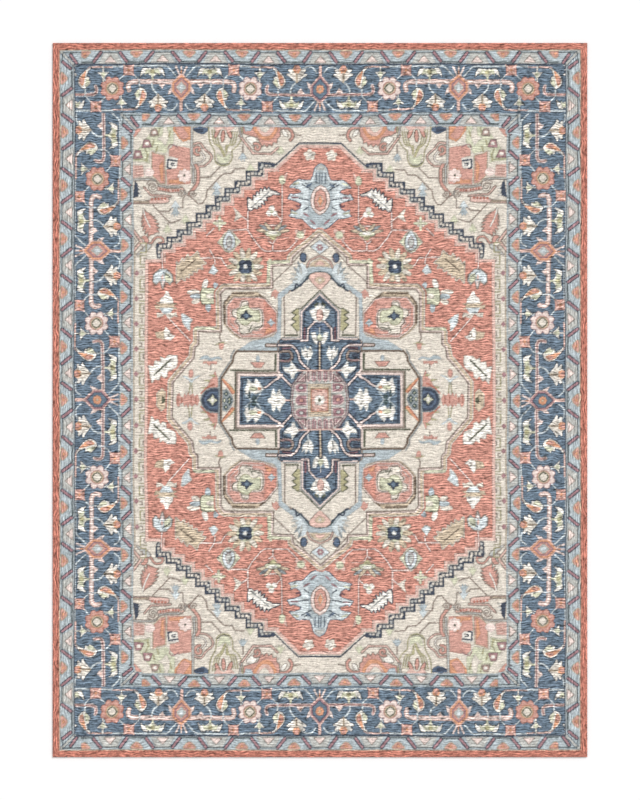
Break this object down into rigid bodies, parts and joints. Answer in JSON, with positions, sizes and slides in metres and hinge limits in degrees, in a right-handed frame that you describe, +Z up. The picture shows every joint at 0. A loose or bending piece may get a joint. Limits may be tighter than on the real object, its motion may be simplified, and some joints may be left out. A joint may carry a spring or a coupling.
{
  "type": "area rug",
  "caption": "Rectangular hand-tufted wool rug with a stepped medallion field, banded floral border and bound canvas back.",
  "frame": {"origin": "centre of the underside, on the floor", "axes": "+X across the rug, +Y along it, +Z up out of the pile"},
  "size_m": [2.74, 3.66, 0.013],
  "materials": {
    "binding_tape": "woven cotton tape",
    "thread": "waxed sewing thread",
    "canvas": "plain-weave cotton canvas",
    "cloth": "plain-weave tufting cloth",
    "latex": "dried latex glue",
    "red_wool": "cut wool pile, heathered",
    "pale_blue_wool": "cut wool pile, heathered",
    "navy_wool": "cut wool pile, heathered",
    "rose_wool": "cut wool pile, heathered",
    "cream_wool": "cut wool pile, heathered"
  },
  "bodies": {
    "root": {"binding_tape_head": "binding_tape", "binding_tape_foot": "binding_tape", "binding_tape_left": "binding_tape", "binding_tape_right": "binding_tape", "seam_thread": "thread", "backing_canvas": "canvas", "tufting_cloth": "cloth", "latex_coat": "latex", "pile_edge_band": "red_wool", "pile_field": "red_wool", "pile_outer_guard": "pale_blue_wool", "pile_inner_guard": "pale_blue_wool", "pile_pendants": "pale_blue_wool", "pile_main_border": "navy_wool", "pile_navy_cross": "navy_wool", "pile_border_rosettes": "rose_wool", "pile_border_lozenges": "rose_wool", "pile_medallion_flowers": "rose_wool", "pile_centre_panel": "rose_wool", "pile_side_strips": "cream_wool", "pile_corner_spandrels": "cream_wool", "pile_medallion": "cream_wool"}
  },
  "joints": []
}
